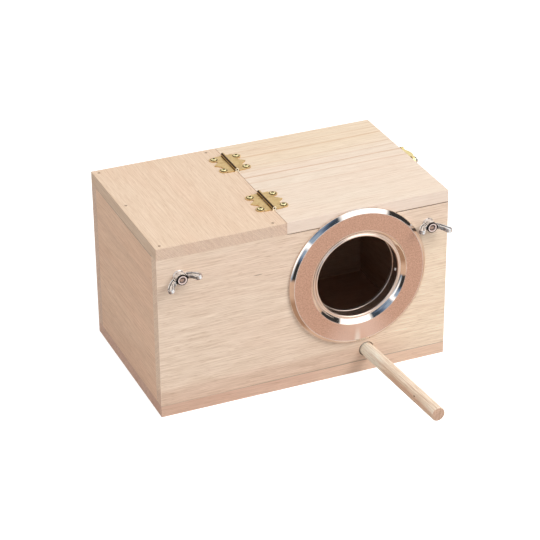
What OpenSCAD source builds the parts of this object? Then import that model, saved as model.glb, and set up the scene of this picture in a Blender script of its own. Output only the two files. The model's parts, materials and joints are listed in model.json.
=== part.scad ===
// Breeding box for cage birds, in millimetres.
// +Z is up, +X runs to the right along the front, and the front faces -Y.
// The origin is the middle of the underside.

/* [Box] */
// Length of the box, left to right
box_l = 250; // [220:1:320]
// Depth of the box, front to back
box_d = 150; // [140:1:220]
// Height of the box, underside to top
box_h = 150; // [146:1:220]
// Thickness of the front, back and side panels
wall_t = 10; // [8:0.5:12]
// Thickness of the base board
base_t = 10; // [6:0.5:12]
// Thickness of the fixed top and the lid
top_t = 10; // [10:0.5:12]
// Length of the fixed top, from the left end to the seam
fixed_top_l = 109; // [90:1:130]
// Gap between the fixed top and the lid
seam_gap = 0.4; // [0.3:0.1:1]
// Set-back of the lid from the front face, behind the ring's rim
lid_setback = 0.4; // [0.3:0.1:1]

/* [Entrance ring] */
// Distance of the entrance's centre from the right end
entry_inset = 80; // [70:1:110]
// Distance of the entrance's centre below the top
entry_drop = 60; // [58:0.5:62]
// Outside diameter of the ring
ring_d = 120; // [110:1:122]
// Clear diameter of the entrance
entry_d = 70.6; // [50:0.2:72]
// Sheet thickness of the ring
ring_t = 0.8; // [0.5:0.1:1]
// Height of the ring's outer rim above the panel
rim_h = 1.4; // [1:0.1:2]
// Height of the ring's flat face above the panel
face_h = 4.1; // [3.5:0.1:5]
// Width of the outer bevel, measured along the radius
outer_bevel_w = 4; // [3:0.1:6]
// Width of the inner bevel, measured along the radius
inner_bevel_w = 3.3; // [2.5:0.1:4]
// Width of the narrow ledge between the inner bevel and the rolled lip
ledge_w = 0.7; // [0.4:0.1:1.2]
// Height of the rolled lip above the panel
lip_h = 1.8; // [1.4:0.1:2.2]
// Radius of the rolled lip
lip_r = 2.9; // [2.4:0.1:3.2]
// How far the collar shows inside the box
collar_proud = 0.8; // [0:0.1:2]
// Clearance between the collar and its hole in the panel
collar_clear = 0.4; // [0.35:0.05:1]

/* [Perch] */
// Diameter of the perch
perch_d = 11.5; // [8:0.5:12]
// Length of the perch in front of the panel
perch_out = 120; // [80:1:140]
// Length of the perch behind the panel
perch_in = 12; // [6:1:20]
// Distance of the perch hole from the right end
perch_inset = 71; // [60:1:90]
// Height of the perch hole above the underside
perch_z = 20; // [17:0.5:22]
// Upward lean of the perch in its loose hole, in degrees
perch_lean_up = 2.3; // [0:0.1:3]
// Lean of the perch to the right, in degrees
perch_lean_side = 1.9; // [0:0.1:3]
// Least clearance round the perch in its hole, which is drilled at the same lean
perch_clear = 0.15; // [0.1:0.05:0.4]
// How far the perch lies off the middle of its hole
perch_play = 0.3; // [0.1:0.05:0.5]
// Direction of the wide side of the gap round the perch, in degrees from the right
perch_gap_turn = 65; // [0:5:180]
// Rounding chamfer on the perch's ends
perch_chamfer = 0.5; // [0.2:0.1:1.5]

/* [Wing nuts] */
// Diameter of the bolts
bolt_d = 5; // [4:0.5:6]
// Length of a bolt under its head
bolt_l = 17.5; // [17:0.5:19]
// Diameter of a bolt's head
bolt_head_d = 9.4; // [8:0.2:12]
// Height of a bolt's head
bolt_head_h = 3; // [2:0.2:4]
// Distance of each bolt from the end of the box
bolt_inset = 18; // [17:0.5:22]
// Distance of the bolts below the top
bolt_drop = 26; // [20:1:40]
// Clearance between a bolt and the thread of its nut
thread_clear = 0.06; // [0.02:0.01:0.1]
// Clearance round a bolt in its hole in the panel
bolt_hole_clear = 0.02; // [0.01:0.01:0.1]
// Diameter of the washers
washer_d = 9.8; // [9:0.2:14]
// Thickness of the washers
washer_t = 1; // [0.6:0.1:1.6]
// Clearance round a bolt in its washer
washer_clear = 0.2; // [0.1:0.05:0.4]
// Diameter of a nut's hub at its foot
hub_base_d = 9.4; // [8.6:0.2:11]
// Diameter of a nut's hub at its front
hub_top_d = 8.6; // [8:0.2:10]
// Height of a nut's hub
hub_h = 7.6; // [7:0.2:10]
// Span of the wings, tip to tip
wing_span = 29.4; // [26:0.2:33]
// Height of the wings above the foot of the hub
wing_h = 15.4; // [13:0.2:17]
// Thickness of the wings
wing_t = 3.2; // [1.8:0.1:4]
// Radius of the rounded wing tips
wing_tip_r = 2.8; // [2:0.1:3.2]
// Turn of the left nut's wings, in degrees
left_nut_turn = 18; // [-90:1:90]
// Turn of the right nut's wings, in degrees
right_nut_turn = -8; // [-90:1:90]

/* [Hinges] */
// Distance of the rear hinge's centre from the back face
rear_hinge_inset = 33; // [25:0.5:45]
// Distance of the front hinge's centre from the front face
front_hinge_inset = 40.5; // [25:0.5:45]
// Length of the leaves
leaf_l = 30.6; // [26:0.2:34]
// Distance from the pin to the ends of the screw lobes and the middle point
leaf_w = 13.7; // [12:0.1:16]
// Thickness of the leaves
leaf_t = 0.8; // [0.6:0.1:1.2]
// Radius of the screw lobes
lobe_r = 3.9; // [3:0.1:4.2]
// Distance of the screws from the middle of the leaf
lobe_off = 10.9; // [9:0.1:11]
// Half width of the pointed tooth in the middle of a leaf
tooth_hw = 4.4; // [3:0.1:5]
// Distance from the foot of the tooth to the line of the screws
tooth_back = 1; // [0:0.1:2]
// Distance from the barrel to the full width of a leaf
leaf_gap = 0.4; // [0.3:0.1:1]
// Diameter of the knuckles
knuckle_d = 3.2; // [2.8:0.1:4]
// Length of the whole barrel
barrel_l = 32; // [28:0.5:34]
// Gap between one knuckle and the next
knuckle_gap = 0.2; // [0.1:0.05:0.4]
// Clearance under the barrel
barrel_lift = 0.1; // [0.05:0.05:0.3]
// Diameter of the hinge pins
hinge_pin_d = 1.4; // [1:0.1:1.6]
// Clearance round the pin in the lid's knuckle
pin_run_clear = 0.05; // [0.02:0.01:0.1]
// Diameter of the hinge screws' heads
hinge_screw_head_d = 5.2; // [4:0.1:6]
// Height of the hinge screws' heads
hinge_screw_head_h = 1.3; // [0.8:0.1:1.5]
// Diameter of the hinge screws' shanks
hinge_screw_d = 2.4; // [1.8:0.1:3]
// Length of the hinge screws in the wood
hinge_screw_l = 7.5; // [5:0.5:9]

/* [Catch] */
// Distance of the hook's pivot from the front face
pivot_inset = 68.5; // [50:0.5:100]
// Depth of the hook's pivot below the top
pivot_drop = 4; // [4:0.1:5]
// Distance from the pivot to the stud
hook_l = 20; // [18:0.5:30]
// Thickness of the hook
hook_t = 2.2; // [1.6:0.1:3]
// Width of the hook's arm
hook_w = 5.6; // [4.5:0.1:6.5]
// Radius of the hook's eye
hook_eye_r = 4; // [3.2:0.1:4]
// Radius of the hook's end
hook_end_r = 3.8; // [3.4:0.1:4.5]
// Gap between the hook and its plate
hook_gap = 0.3; // [0.2:0.05:0.6]
// Thickness of the catch plate
plate_t = 0.9; // [0.6:0.1:1.4]
// Length of the catch plate
plate_l = 15; // [14:0.5:20]
// Height of the catch plate
plate_h = 8.4; // [8:0.1:8.8]
// Diameter of the pivot's shank
pivot_d = 3; // [2.4:0.1:3.4]
// Diameter of the pivot's head
pivot_head_d = 6.8; // [5:0.1:7.4]
// Height of the pivot's head
pivot_head_h = 3; // [1.5:0.1:4]
// Depth of the pivot and stud in the wood
pivot_depth = 8; // [5:0.5:9]
// Diameter of the stud's neck
stud_d = 3; // [2.4:0.1:3.2]
// Clearance round the stud's neck in the hook's notch
notch_clear = 0.4; // [0.3:0.05:0.6]
// Clearance round the pivot in the hook's eye
eye_clear = 0.08; // [0.02:0.01:0.1]
// Height of the stud's head
stud_head_h = 2.1; // [1.5:0.1:3]
// Diameter of the stud's base
stud_base_d = 7; // [5:0.1:9]
// Distance of the plate's small screws from its ends
plate_screw_inset = 2.4; // [2:0.1:3]
// Diameter of the plate's small screws
plate_screw_d = 1.6; // [1.2:0.1:2]
// Diameter of the heads of the plate's small screws
plate_screw_head_d = 3; // [2.4:0.1:3.4]

/* [Brads] */
// Diameter of the brads in the wood
brad_d = 1.4; // [1:0.1:1.8]
// Diameter of the brads' heads
brad_head_d = 2.4; // [2:0.1:3]
// Length of the brads
brad_l = 24; // [18:1:28]
// Distance of the last top brads from the seam
brad_seam_inset = 10; // [6:1:20]
// Diameter of the ring's brads
ring_brad_d = 1.2; // [0.8:0.1:1.4]
// Diameter of the heads of the ring's brads
ring_brad_head_d = 2.6; // [2:0.1:3]
// Depth of the ring's brads behind the front face
ring_brad_depth = 2.8; // [2.6:0.1:4]
// Length of the ring's brads
ring_brad_l = 9; // [6:0.5:12]
// Turn of the ring's brads round the entrance, in degrees
ring_brad_turn = -5; // [-30:1:30]
// How far the heads of the ring's brads are sunk into the collar
ring_brad_sink = 0.1; // [0.05:0.05:0.2]

/* [Hidden] */

$fn = 64;
// Facets of the large circles, and steps along an arc or a curve of an outline
large_fn = 128;
arc_steps = 12;
// Overshoot of a cutter past the face that it cuts, and overlap of shapes that are one piece
cut = 0.5;
// Clearance of a fixed shank in its pilot hole
pilot_clear = 0.02;

wood = [0.91, 0.82, 0.71];
end_wood = [0.87, 0.76, 0.65];
brass = [0.80, 0.66, 0.36];
steel = [0.78, 0.78, 0.79];
rose_metal = [0.78, 0.64, 0.56];

left_x = -box_l / 2;
right_x = box_l / 2;
front_y = -box_d / 2;
back_y = box_d / 2;
wall_top_z = box_h - top_t;
side_l = box_d - 2 * wall_t;
seam_x = left_x + fixed_top_l;

entry_x = right_x - entry_inset;
entry_z = box_h - entry_drop;
entry_r = entry_d / 2;
ring_r = ring_d / 2;
collar_r = entry_r + ring_t;
panel_hole_r = collar_r + collar_clear;
lip_start_r = entry_r + lip_r;
ledge_r = lip_start_r + ledge_w;
face_in_r = ledge_r + inner_bevel_w;
face_out_r = ring_r - outer_bevel_w;
collar_depth = wall_t + collar_proud;

perch_x = right_x - perch_inset;
perch_hole_r = perch_d / 2 + perch_clear + perch_play;
perch_back = wall_t / 2 + perch_in;
perch_front = wall_t / 2 + perch_out;

bolt_x = right_x - bolt_inset;
bolt_z = box_h - bolt_drop;
bolt_hole_r = bolt_d / 2 + bolt_hole_clear;
wing_tip_x = wing_span / 2 - wing_tip_r;
wing_tip_z = wing_h - wing_tip_r;

knuckle_r = knuckle_d / 2;
hinge_z = box_h + knuckle_r + barrel_lift;
rear_hinge_y = back_y - rear_hinge_inset;
front_hinge_y = front_y + front_hinge_inset;
knuckle_l = (barrel_l - 2 * knuckle_gap) / 3;
lobe_x = leaf_w - lobe_r;
leaf_start = knuckle_r + leaf_gap;
tooth_x = lobe_x - tooth_back;
hinge_screw_pilot_r = hinge_screw_d / 2 + pilot_clear;

pivot_y = front_y + pivot_inset;
pivot_z = box_h - pivot_drop;
stud_z = pivot_z - hook_l;
plate_mid_z = box_h - top_t / 2;
hook_back = plate_t + hook_gap;
hook_front = hook_back + hook_t;
notch_hw = stud_d / 2 + notch_clear;

// Brads down through the fixed top, in the middle of the walls' edges
top_brad_x = seam_x - brad_seam_inset;
top_brad_spots = [
    [top_brad_x, back_y - wall_t / 2],
    [top_brad_x, front_y + wall_t / 2],
    [left_x + wall_t / 2, front_y + wall_t / 2],
    [left_x + wall_t / 2, back_y - wall_t / 2],
    [left_x + wall_t / 2, wall_t / 2]
];
// Brads up through the base, clear of the perch hole
base_brad_spots = [
    for (x = [left_x + 2 * wall_t, 0, right_x - 2 * wall_t])
        for (y = [front_y + wall_t / 2, back_y - wall_t / 2])
            [x, y],
    for (x = [left_x + wall_t / 2, right_x - wall_t / 2]) [x, 0]
];
ring_brad_turns = [ring_brad_turn, ring_brad_turn + 180];

// Points of an arc about a centre
function on_circle(centre, r, turn) = centre + r * [cos(turn), sin(turn)];
function arc(centre, r, from, to) =
    [for (i = [0:arc_steps]) on_circle(centre, r, from + (to - from) * i / arc_steps)];

// Points of a curve from a to c that is drawn towards b
function bend(a, b, c) = [
    for (i = [0:arc_steps])
        let (k = i / arc_steps)
            (1 - k) * (1 - k) * a + 2 * k * (1 - k) * b + k * k * c
];

// A domed head on z = 0, with the dome upwards
module dome(d, h) {
    r = (pow(d / 2, 2) + pow(h, 2)) / (2 * h);
    half = asin(d / 2 / r);
    rotate_extrude()
        polygon(concat([[0, 0]], arc([0, h - r], r, 90 - half, 90)));
}

// The cross recess of a screw head, cut down from z = 0
module cross_recess(d, depth) {
    arm_w = d / 4.5;
    for (turn = [0, 90])
        rotate([0, 0, turn])
            translate([-d / 2, -arm_w / 2, -depth])
                cube([d, arm_w, depth + cut]);
}

// A round-headed wood screw: the head stands on z = 0 and the shank points down
module round_screw(head_d, head_h, shank_d, shank_l) {
    recess_turn = 30;
    recess_d = head_d * 0.55;
    recess_depth = head_h / 2;
    difference() {
        union() {
            dome(head_d, head_h);
            translate([0, 0, -shank_l + shank_d])
                cylinder(h = shank_l - shank_d, d = shank_d);
            translate([0, 0, -shank_l])
                cylinder(h = shank_d, d1 = shank_d / 4, d2 = shank_d);
        }
        translate([0, 0, head_h])
            rotate([0, 0, recess_turn])
                cross_recess(recess_d, recess_depth);
    }
}

// A brad whose head is flush with z = 0 and whose point is down
module brad(d, head_d, l) {
    head_h = d / 2;
    translate([0, 0, -head_h])
        cylinder(h = head_h, d = head_d);
    translate([0, 0, -l + d])
        cylinder(h = l - d - head_h, d = d);
    translate([0, 0, -l])
        cylinder(h = d, d1 = d / 4, d2 = d);
}

// The pilot hole of such a brad
module brad_hole(d, head_d, l) {
    head_h = d / 2;
    translate([0, 0, -head_h - pilot_clear])
        cylinder(h = head_h + pilot_clear + cut, d = head_d + 2 * pilot_clear);
    translate([0, 0, -l - pilot_clear])
        cylinder(h = l + cut, d = d + 2 * pilot_clear);
}

module at_top_brads() {
    for (p = top_brad_spots)
        translate([p[0], p[1], box_h])
            children();
}

module at_base_brads() {
    for (p = base_brad_spots)
        translate([p[0], p[1], 0])
            rotate([180, 0, 0])
                children();
}

module at_ring_brads() {
    for (turn = ring_brad_turns)
        translate([entry_x, front_y + ring_brad_depth, entry_z])
            rotate([0, -turn, 0])
                translate([entry_r + ring_brad_sink, 0, 0])
                    rotate([0, -90, 0])
                        children();
}

// Children at the middle of the perch's hole, with +Z along the perch and out of the box
module at_perch() {
    translate([perch_x, front_y + wall_t / 2, perch_z])
        rotate([90 - perch_lean_up, 0, perch_lean_side])
            children();
}

// Lays children out at both bolts, with +Z pointing out of the front face
module at_bolt(side) {
    translate([side * bolt_x, front_y, bolt_z])
        rotate([90, 0, 0])
            children();
}

module bolt_holes() {
    for (side = [-1, 1])
        at_bolt(side)
            translate([0, 0, -wall_t - cut])
                cylinder(h = wall_t + 2 * cut, r = bolt_hole_r);
}

// Panels and boards

module base_board() {
    color(wood)
        difference() {
            translate([left_x, front_y, 0])
                cube([box_l, box_d, base_t]);
            at_base_brads()
                brad_hole(brad_d, brad_head_d, brad_l);
        }
}

module front_panel() {
    color(wood)
        difference() {
            translate([left_x, front_y, base_t])
                cube([box_l, wall_t, wall_top_z - base_t]);
            translate([entry_x, front_y + wall_t + cut, entry_z])
                rotate([90, 0, 0])
                    cylinder(h = wall_t + 2 * cut, r = panel_hole_r, $fn = large_fn);
            at_perch()
                rotate([0, 0, perch_gap_turn])
                    translate([perch_play, 0, -wall_t])
                        cylinder(h = 2 * wall_t, r = perch_hole_r);
            bolt_holes();
            at_top_brads()
                brad_hole(brad_d, brad_head_d, brad_l);
            at_base_brads()
                brad_hole(brad_d, brad_head_d, brad_l);
            at_ring_brads()
                brad_hole(ring_brad_d, ring_brad_head_d, ring_brad_l);
        }
}

module back_panel() {
    color(wood)
        difference() {
            translate([left_x, back_y - wall_t, base_t])
                cube([box_l, wall_t, wall_top_z - base_t]);
            at_top_brads()
                brad_hole(brad_d, brad_head_d, brad_l);
            at_base_brads()
                brad_hole(brad_d, brad_head_d, brad_l);
        }
}

module side_panel(x) {
    color(wood)
        difference() {
            translate([x, front_y + wall_t, base_t])
                cube([wall_t, side_l, wall_top_z - base_t]);
            at_top_brads()
                brad_hole(brad_d, brad_head_d, brad_l);
            at_base_brads()
                brad_hole(brad_d, brad_head_d, brad_l);
            translate([right_x + cut, pivot_y, stud_z])
                rotate([0, -90, 0])
                    cylinder(h = pivot_depth + cut, r = stud_d / 2 + pilot_clear);
        }
}

module fixed_top() {
    color(end_wood)
        difference() {
            translate([left_x, front_y, wall_top_z])
                cube([fixed_top_l - seam_gap / 2, box_d, top_t]);
            at_top_brads()
                brad_hole(brad_d, brad_head_d, brad_l);
            hinge_screw_holes(-1);
        }
}

module lid() {
    color(wood)
        difference() {
            translate([seam_x + seam_gap / 2, front_y + lid_setback, wall_top_z])
                cube([right_x - seam_x - seam_gap / 2, box_d - lid_setback, top_t]);
            hinge_screw_holes(1);
            translate([right_x + cut, pivot_y, pivot_z])
                rotate([0, -90, 0])
                    cylinder(h = pivot_depth + cut, r = pivot_d / 2 + pilot_clear);
            at_plate_screws()
                translate([0, 0, -pivot_depth])
                    cylinder(h = pivot_depth + cut, r = plate_screw_d / 2 + pilot_clear);
        }
}

// Butterfly hinges. Each leaf is drawn with the pin at x = 0 and the leaf towards +X.

module leaf_outline() {
    difference() {
        union() {
            translate([leaf_start, -leaf_l / 2])
                square([lobe_x - lobe_r / 2 - leaf_start, leaf_l]);
            translate([leaf_start, -lobe_off])
                square([tooth_x - leaf_start, 2 * lobe_off]);
            for (side = [-1, 1])
                translate([lobe_x, side * lobe_off])
                    circle(r = lobe_r);
            polygon([[tooth_x - cut, -tooth_hw - cut], [leaf_w, 0], [tooth_x - cut, tooth_hw + cut]]);
        }
        for (side = [-1, 1])
            translate([lobe_x, side * lobe_off])
                circle(r = hinge_screw_pilot_r + pilot_clear);
    }
}

// One knuckle of length l whose middle is at y, with the strip that joins it to the leaf
module knuckle(y, l, bore_r) {
    translate([0, y - l / 2, 0])
        difference() {
            union() {
                translate([0, l, hinge_z])
                    rotate([90, 0, 0])
                        cylinder(h = l, r = knuckle_r);
                translate([0, 0, box_h])
                    cube([leaf_start + cut, l, leaf_t]);
            }
            translate([0, l + cut, hinge_z])
                rotate([90, 0, 0])
                    cylinder(h = l + 2 * cut, r = bore_r);
        }
}

module fixed_leaf(y) {
    color(brass)
        translate([seam_x, y, 0])
            mirror([1, 0, 0]) {
                translate([0, 0, box_h])
                    linear_extrude(height = leaf_t)
                        leaf_outline();
                for (side = [-1, 1])
                    knuckle(side * (knuckle_l + knuckle_gap), knuckle_l, hinge_pin_d / 2 + pilot_clear);
            }
}

module lid_leaf(y) {
    color(brass)
        translate([seam_x, y, 0]) {
            translate([0, 0, box_h])
                linear_extrude(height = leaf_t)
                    leaf_outline();
            knuckle(0, knuckle_l, hinge_pin_d / 2 + pin_run_clear);
        }
}

module hinge_pin(y) {
    color(steel)
        translate([seam_x, y + barrel_l / 2, hinge_z])
            rotate([90, 0, 0])
                cylinder(h = barrel_l, d = hinge_pin_d);
}

// Children at the four hinge screws on one side of the seam, -1 for the fixed top and 1 for the lid
module at_hinge_screws(side) {
    for (y = [rear_hinge_y, front_hinge_y])
        for (along = [-1, 1])
            translate([seam_x + side * lobe_x, y + along * lobe_off, box_h + leaf_t])
                children();
}

module hinge_screw_holes(side) {
    at_hinge_screws(side)
        translate([0, 0, -hinge_screw_l - pilot_clear])
            cylinder(h = hinge_screw_l + cut, r = hinge_screw_pilot_r);
}

module leaf_screws(side) {
    color(brass)
        at_hinge_screws(side)
            round_screw(hinge_screw_head_d, hinge_screw_head_h, hinge_screw_d, hinge_screw_l);
}

// Entrance ring: a pressed sheet turned about the entrance's axis, with the height above the panel as y

outer_bevel_turn = atan((face_h - rim_h) / outer_bevel_w);
inner_bevel_turn = atan((face_h - lip_h) / inner_bevel_w);
outer_miter = ring_t * tan(outer_bevel_turn / 2);
inner_miter = ring_t * tan(inner_bevel_turn / 2);
rim_miter = ring_t * tan((90 - outer_bevel_turn) / 2);
lip_centre = [lip_start_r, lip_h - lip_r];

ring_front = concat(
    [[ring_r, 0], [ring_r, rim_h], [face_out_r, face_h], [face_in_r, face_h], [ledge_r, lip_h]],
    arc(lip_centre, lip_r, 90, 180),
    [[entry_r, -collar_depth]]
);
ring_back = concat(
    [[collar_r, -collar_depth]],
    arc(lip_centre, lip_r - ring_t, 180, 90),
    [
        [ledge_r + inner_miter, lip_h - ring_t],
        [face_in_r + inner_miter, face_h - ring_t],
        [face_out_r - outer_miter, face_h - ring_t],
        [ring_r - ring_t, rim_h - rim_miter],
        [ring_r - ring_t, 0]
    ]
);

module entrance_ring() {
    color(rose_metal)
        difference() {
            translate([entry_x, front_y, entry_z])
                rotate([90, 0, 0])
                    rotate_extrude($fn = large_fn)
                        polygon(concat(ring_front, ring_back));
            at_ring_brads()
                brad_hole(ring_brad_d, ring_brad_head_d, ring_brad_l);
        }
}

module ring_brads() {
    color(steel)
        at_ring_brads()
            brad(ring_brad_d, ring_brad_head_d, ring_brad_l);
}

// Perch: a dowel with a chamfer at each end

module perch() {
    end_d = perch_d - 2 * perch_chamfer;
    color(wood)
        at_perch()
            translate([0, 0, -perch_back]) {
                translate([0, 0, perch_chamfer])
                    cylinder(h = perch_back + perch_front - 2 * perch_chamfer, d = perch_d);
                cylinder(h = perch_chamfer, d1 = end_d, d2 = perch_d);
                translate([0, 0, perch_back + perch_front - perch_chamfer])
                    cylinder(h = perch_chamfer, d1 = perch_d, d2 = end_d);
            }
}

// Bolts, washers and wing nuts

module bolt(side) {
    tip_h = bolt_d / 8;
    color(steel)
        at_bolt(side)
            translate([0, 0, -wall_t]) {
                cylinder(h = bolt_l - tip_h, d = bolt_d);
                translate([0, 0, bolt_l - tip_h])
                    cylinder(h = tip_h, d1 = bolt_d, d2 = bolt_d - 2 * tip_h);
                rotate([180, 0, 0])
                    difference() {
                        dome(bolt_head_d, bolt_head_h);
                        translate([0, 0, bolt_head_h])
                            cross_recess(bolt_head_d / 2, bolt_head_h / 2);
                    }
            }
}

module washer(side) {
    color(steel)
        at_bolt(side)
            difference() {
                cylinder(h = washer_t, d = washer_d);
                translate([0, 0, -cut])
                    cylinder(h = washer_t + 2 * cut, d = bolt_d + 2 * washer_clear);
            }
}

// One wing's outline: along the radius as x and along the bolt as y. The edges under and over
// the wing are curves from the hub to its round tip, drawn towards wing_under and wing_over.
wing_root = hub_top_d / 2 - cut;
wing_foot = [wing_root, hub_h * 0.14];
wing_under = [wing_tip_x * 0.78, hub_h * 0.3];
wing_over = [wing_tip_x * 0.62, hub_h * 0.92];
wing_shoulder = [wing_root, hub_h * 0.86];
wing_tip = [wing_tip_x, wing_tip_z];
tip_from = -38;
tip_to = 150;
wing_points = concat(
    bend(wing_foot, wing_under, on_circle(wing_tip, wing_tip_r, tip_from)),
    arc(wing_tip, wing_tip_r, tip_from + (tip_to - tip_from) / arc_steps, tip_to),
    bend(on_circle(wing_tip, wing_tip_r, tip_to), wing_over, wing_shoulder)
);

module wing_nut(side, turn) {
    color(steel)
        at_bolt(side)
            translate([0, 0, washer_t])
                rotate([0, 0, turn])
                    difference() {
                        union() {
                            cylinder(h = hub_h, d1 = hub_base_d, d2 = hub_top_d);
                            for (wing = [0, 180])
                                rotate([90, 0, wing])
                                    translate([0, 0, -wing_t / 2])
                                        linear_extrude(height = wing_t)
                                            polygon(wing_points);
                        }
                        translate([0, 0, -cut])
                            cylinder(h = hub_h + 2 * cut, d = bolt_d + 2 * thread_clear);
                    }
}

// Catch. Its pieces are drawn flat, with +Z of the drawing pointing out of the right end.

module on_right_end(y, z) {
    translate([right_x, y, z])
        rotate([90, 0, 90])
            children();
}

module at_plate_screws() {
    for (side = [-1, 1])
        on_right_end(pivot_y + side * (plate_l / 2 - plate_screw_inset), plate_mid_z)
            translate([0, 0, plate_t])
                children();
}

module catch_plate() {
    color(brass)
        difference() {
            on_right_end(pivot_y, plate_mid_z)
                translate([-plate_l / 2, -plate_h / 2, 0])
                    cube([plate_l, plate_h, plate_t]);
            on_right_end(pivot_y, pivot_z)
                translate([0, 0, -cut])
                    cylinder(h = plate_t + 2 * cut, r = pivot_d / 2 + pilot_clear);
            at_plate_screws() {
                translate([0, 0, -plate_t - cut])
                    cylinder(h = plate_t + 2 * cut, r = plate_screw_d / 2 + pilot_clear);
                translate([0, 0, -plate_t / 2])
                    cylinder(h = plate_t / 2 + cut, r = plate_screw_head_d / 2 + pilot_clear);
            }
        }
}

module catch_plate_screws() {
    color(brass)
        at_plate_screws()
            difference() {
                union() {
                    translate([0, 0, -plate_t / 2])
                        cylinder(h = plate_t / 2, d = plate_screw_head_d);
                    translate([0, 0, -pivot_depth + plate_screw_d])
                        cylinder(h = pivot_depth - plate_screw_d - plate_t / 2, d = plate_screw_d);
                    translate([0, 0, -pivot_depth])
                        cylinder(h = plate_screw_d, d1 = plate_screw_d / 4, d2 = plate_screw_d);
                }
                cross_recess(plate_screw_d, plate_t / 4);
            }
}

module catch_pivot() {
    color(steel)
        on_right_end(pivot_y, pivot_z) {
            translate([0, 0, -pivot_depth + plate_screw_d])
                cylinder(h = pivot_depth - plate_screw_d + hook_front + hook_gap, d = pivot_d);
            translate([0, 0, hook_front + hook_gap])
                dome(pivot_head_d, pivot_head_h);
        }
}

// The hook's outline: the pivot at the origin, the arm along +X, the notch open downwards
module hook_outline() {
    difference() {
        union() {
            circle(r = hook_eye_r);
            translate([0, -hook_w / 2])
                square([hook_l, hook_w]);
            translate([hook_l, 0])
                circle(r = hook_end_r);
        }
        circle(r = pivot_d / 2 + eye_clear);
        translate([hook_l, 0])
            circle(r = notch_hw);
        intersection() {
            difference() {
                circle(r = hook_l + notch_hw, $fn = large_fn);
                circle(r = hook_l - notch_hw, $fn = large_fn);
            }
            translate([hook_l / 2, -hook_end_r - cut])
                square([hook_l, hook_end_r + cut]);
        }
    }
}

module catch_hook() {
    color(brass)
        on_right_end(pivot_y, pivot_z)
            translate([0, 0, hook_back])
                linear_extrude(height = hook_t)
                    hook_outline();
}

module catch_stud() {
    color(brass)
        on_right_end(pivot_y, stud_z) {
            translate([0, 0, -pivot_depth + plate_screw_d])
                cylinder(h = pivot_depth - plate_screw_d + hook_front + hook_gap, d = stud_d);
            cylinder(h = plate_t, d = stud_base_d);
            translate([0, 0, hook_front + hook_gap])
                dome(pivot_head_d, stud_head_h);
        }
}

module top_brads() {
    color(steel)
        at_top_brads()
            brad(brad_d, brad_head_d, brad_l);
}

module base_brads() {
    color(steel)
        at_base_brads()
            brad(brad_d, brad_head_d, brad_l);
}

base_board();
front_panel();
back_panel();
side_panel(left_x);  // left_panel
side_panel(right_x - wall_t);  // right_panel
fixed_top();
lid();
fixed_leaf(rear_hinge_y);  // rear_hinge_fixed_leaf
lid_leaf(rear_hinge_y);  // rear_hinge_lid_leaf
hinge_pin(rear_hinge_y);  // rear_hinge_pin
fixed_leaf(front_hinge_y);  // front_hinge_fixed_leaf
lid_leaf(front_hinge_y);  // front_hinge_lid_leaf
hinge_pin(front_hinge_y);  // front_hinge_pin
leaf_screws(-1);  // fixed_leaf_screws
leaf_screws(1);  // lid_leaf_screws
entrance_ring();
ring_brads();
perch();
bolt(-1);  // left_bolt
washer(-1);  // left_washer
wing_nut(-1, left_nut_turn);  // left_wing_nut
bolt(1);  // right_bolt
washer(1);  // right_washer
wing_nut(1, right_nut_turn);  // right_wing_nut
catch_plate();
catch_plate_screws();
catch_pivot();
catch_hook();
catch_stud();
top_brads();
base_brads();
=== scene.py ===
import json
from math import cos, radians, sin

import bpy
from mathutils import Matrix, Vector


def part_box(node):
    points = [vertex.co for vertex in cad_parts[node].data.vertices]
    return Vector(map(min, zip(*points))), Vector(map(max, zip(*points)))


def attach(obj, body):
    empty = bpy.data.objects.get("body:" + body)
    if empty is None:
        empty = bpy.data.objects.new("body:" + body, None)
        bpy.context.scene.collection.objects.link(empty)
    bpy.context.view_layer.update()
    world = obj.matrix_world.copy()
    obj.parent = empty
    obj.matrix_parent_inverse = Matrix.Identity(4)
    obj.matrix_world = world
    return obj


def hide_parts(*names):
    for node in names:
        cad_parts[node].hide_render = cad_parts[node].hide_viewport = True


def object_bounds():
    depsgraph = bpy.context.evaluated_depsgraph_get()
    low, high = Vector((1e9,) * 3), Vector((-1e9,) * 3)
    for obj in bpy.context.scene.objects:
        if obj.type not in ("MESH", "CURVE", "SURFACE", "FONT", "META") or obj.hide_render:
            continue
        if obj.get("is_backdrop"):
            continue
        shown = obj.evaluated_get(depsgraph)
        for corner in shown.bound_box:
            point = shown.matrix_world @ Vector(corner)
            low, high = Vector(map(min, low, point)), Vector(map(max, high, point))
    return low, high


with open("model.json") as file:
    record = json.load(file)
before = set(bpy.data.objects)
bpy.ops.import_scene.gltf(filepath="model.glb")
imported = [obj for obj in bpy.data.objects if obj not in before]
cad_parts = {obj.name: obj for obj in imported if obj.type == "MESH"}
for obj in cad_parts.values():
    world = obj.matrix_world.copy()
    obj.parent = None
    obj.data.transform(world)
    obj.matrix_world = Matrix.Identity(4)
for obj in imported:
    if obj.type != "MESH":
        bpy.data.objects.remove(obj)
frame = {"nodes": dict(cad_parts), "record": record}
cad_low, cad_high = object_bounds()

# Camera: about 1.6 m away, up and to the left, with a long lens. It is tilted by half a degree,
# as the one that took the picture was.
eye = Vector((-0.5952, -1.4046, 0.8944))
looks_at = Vector((-0.0308, -0.0750, 0.1120))
tilt = radians(0.52)
bpy.ops.object.camera_add(location=eye)
camera = bpy.context.object
camera.data.lens = 140.02
camera.data.sensor_width = 36.0
straight = (looks_at - eye).to_track_quat("-Z", "Y").to_matrix()
camera.rotation_euler = (straight @ Matrix.Rotation(-tilt, 3, "Z")).to_euler()
bpy.context.scene.camera = camera


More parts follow.
